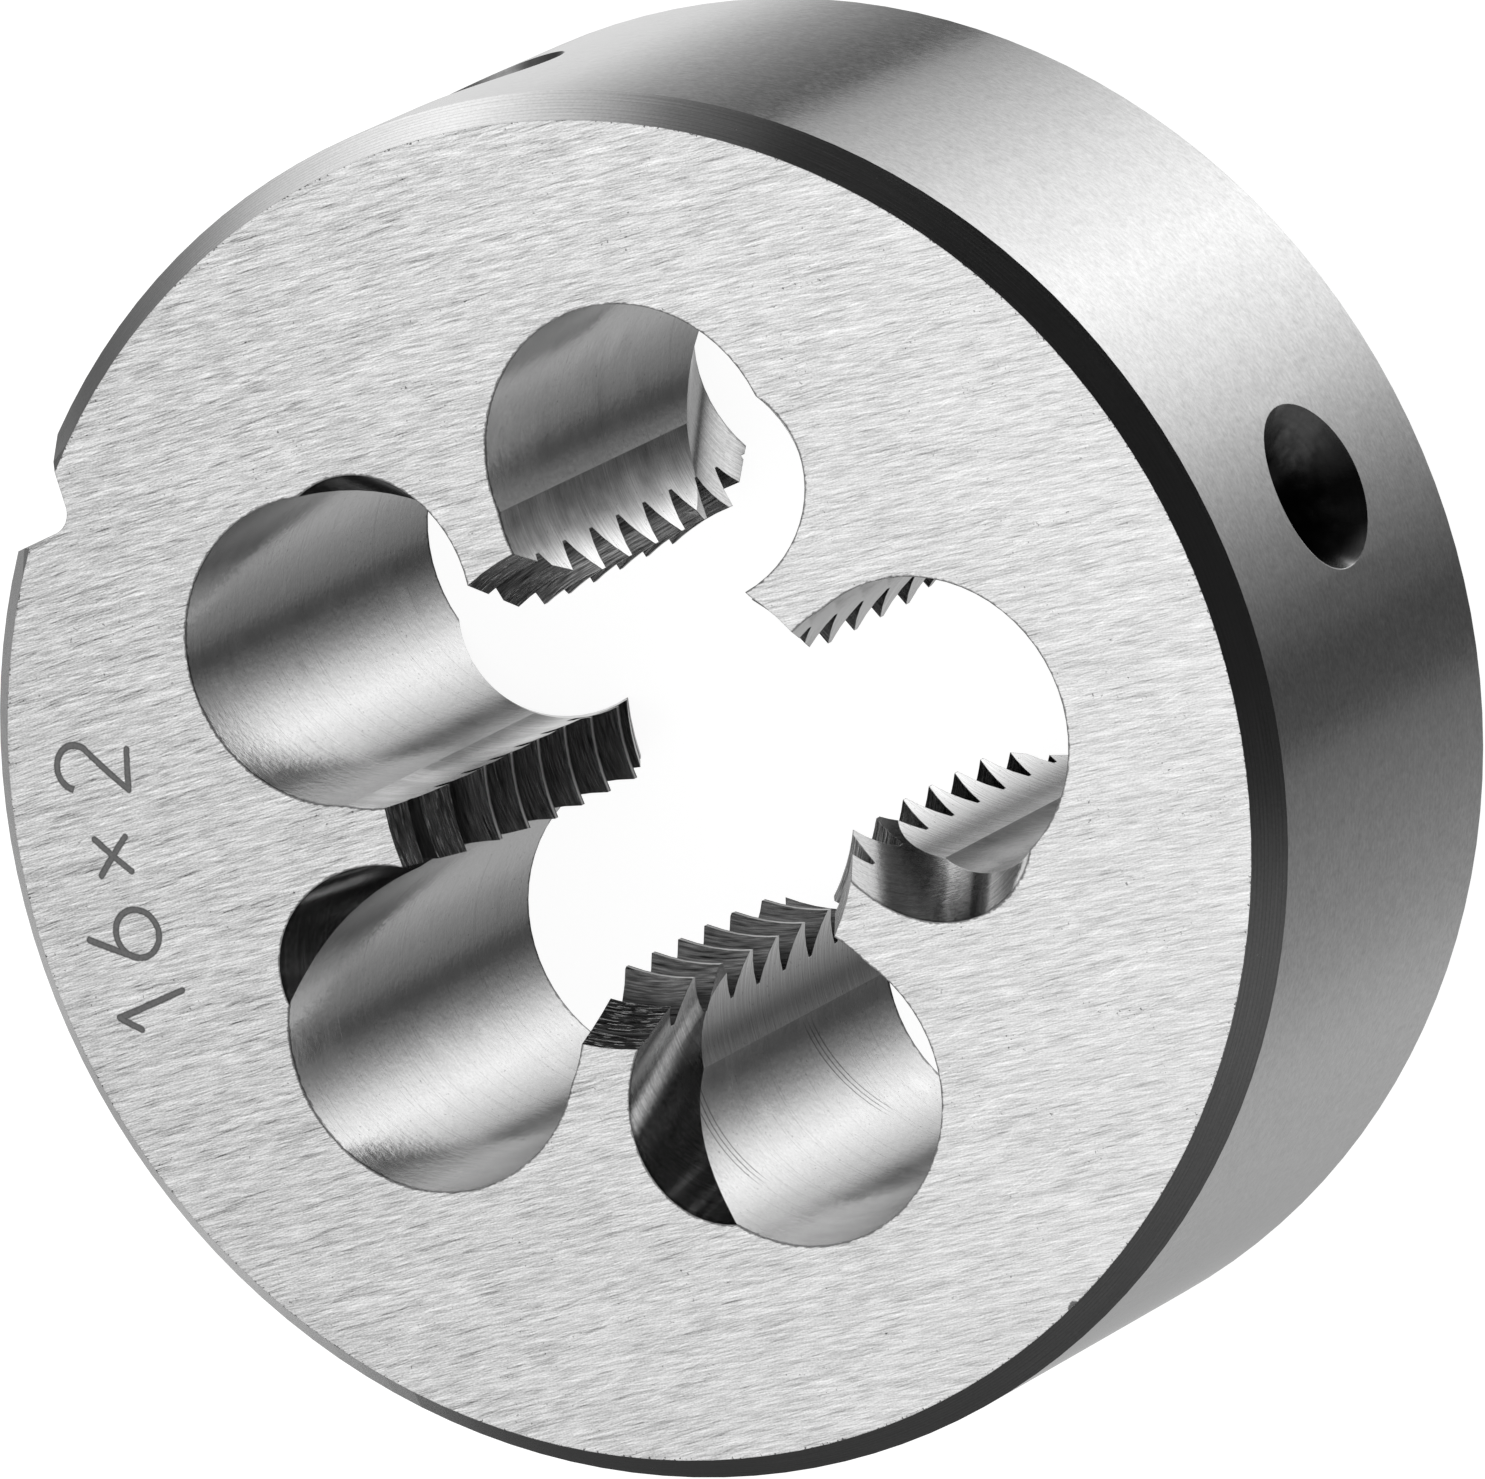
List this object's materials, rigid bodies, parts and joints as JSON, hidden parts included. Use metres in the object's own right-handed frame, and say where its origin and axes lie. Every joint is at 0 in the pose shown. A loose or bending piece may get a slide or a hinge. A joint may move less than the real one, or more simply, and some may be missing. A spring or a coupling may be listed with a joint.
{
  "type": "round threading die",
  "caption": "Closed round die that cuts an M16 x 2 right-hand outside thread on a rod; steel disc with chip holes and a rim notch.",
  "frame": {"origin": "centre of the plain face that the die lies on, on the axis of the thread", "axes": "+Z along the thread's axis towards the marked face, -Y through the locating notch in the rim"},
  "size_m": [0.045, 0.0449, 0.018],
  "materials": {
    "ground_steel": "ground"
  },
  "bodies": {
    "root": {"threading_die": "ground_steel"}
  },
  "joints": []
}
